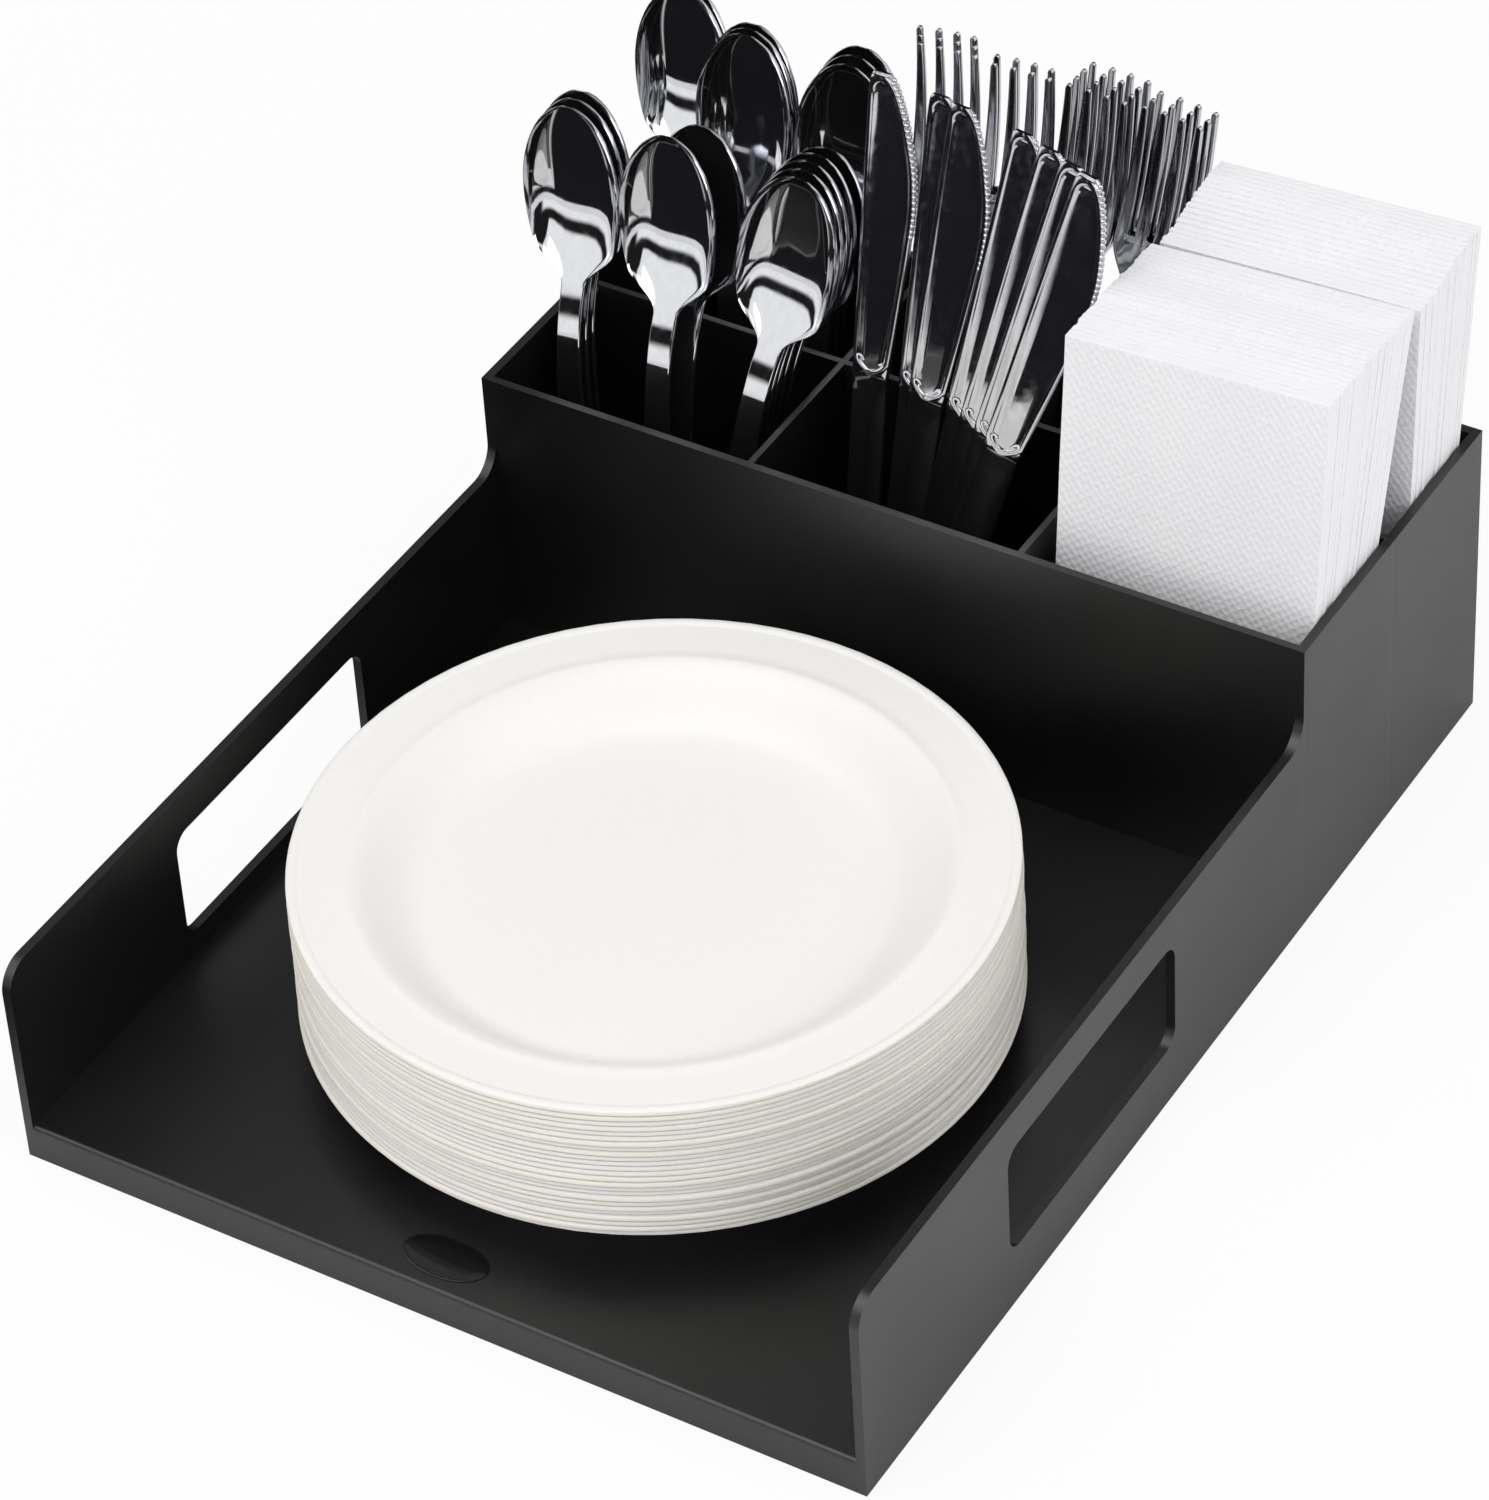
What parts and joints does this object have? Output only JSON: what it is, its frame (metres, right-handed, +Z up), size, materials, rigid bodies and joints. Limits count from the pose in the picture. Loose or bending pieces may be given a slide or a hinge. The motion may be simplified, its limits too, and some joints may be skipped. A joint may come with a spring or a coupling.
{
  "type": "utensil and napkin caddy",
  "caption": "Black moulded buffet caddy: open plate tray with hand holes in its low side walls, and upright bays behind it for spoons, knives, forks and napkins.",
  "frame": {"origin": "on the ground under the middle of the caddy's moulded body", "axes": "+X to the right as seen from the open front, +Y to the back, where the upright bays are, +Z up"},
  "size_m": [0.3145, 0.4162, 0.2299],
  "materials": {
    "caddy_plastic": "satin black injection moulding",
    "plate_paper": "smooth coated white paper",
    "napkin_paper": "soft embossed white tissue",
    "silver_plastic": "mirror-bright silver coating on plastic"
  },
  "bodies": {
    "caddy": {"caddy_body": "caddy_plastic"},
    "plate_stack": {"lower_plates": "plate_paper", "upper_plates": "plate_paper"},
    "top_plate": {"top_plate": "plate_paper"},
    "napkins_front": {"napkins_front": "napkin_paper"},
    "napkins_rear": {"napkins_rear": "napkin_paper"},
    "spoons_front": {"spoons_front_left": "silver_plastic", "spoons_front_middle": "silver_plastic", "spoons_front_right": "silver_plastic"},
    "spoons_rear": {"spoons_rear_left": "silver_plastic", "spoons_rear_middle": "silver_plastic", "spoons_rear_right": "silver_plastic"},
    "knives": {"knives_far_left": "silver_plastic", "knives_left": "silver_plastic", "knives_middle": "silver_plastic", "knives_right": "silver_plastic", "knives_far_right": "silver_plastic"},
    "forks": {"forks_far_left": "silver_plastic", "forks_left": "silver_plastic", "forks_right": "silver_plastic", "forks_far_right": "silver_plastic"}
  },
  "joints": [
    {"name": "plate_stack_lift", "type": "slide", "parent": "caddy", "child": "plate_stack", "axis": [0, 0, 1], "range_m": [0, 0.1]},
    {"name": "top_plate_lift", "type": "slide", "parent": "plate_stack", "child": "top_plate", "axis": [0, 0, 1], "range_m": [0, 0.06]},
    {"name": "napkins_front_lift", "type": "slide", "parent": "caddy", "child": "napkins_front", "axis": [0, 0.1564, 0.9877], "range_m": [0, 0.13]},
    {"name": "napkins_rear_lift", "type": "slide", "parent": "caddy", "child": "napkins_rear", "axis": [0, 0.1392, 0.9903], "range_m": [0, 0.13]},
    {"name": "spoons_front_lift", "type": "slide", "parent": "caddy", "child": "spoons_front", "axis": [0, 0.2419, 0.9703], "range_m": [0, 0.13]},
    {"name": "spoons_rear_lift", "type": "slide", "parent": "caddy", "child": "spoons_rear", "axis": [0, 0.2419, 0.9703], "range_m": [0, 0.13]},
    {"name": "knives_lift", "type": "slide", "parent": "caddy", "child": "knives", "axis": [0, 0.2419, 0.9703], "range_m": [0, 0.13]},
    {"name": "forks_lift", "type": "slide", "parent": "caddy", "child": "forks", "axis": [0, 0.2419, 0.9703], "range_m": [0, 0.13]}
  ]
}
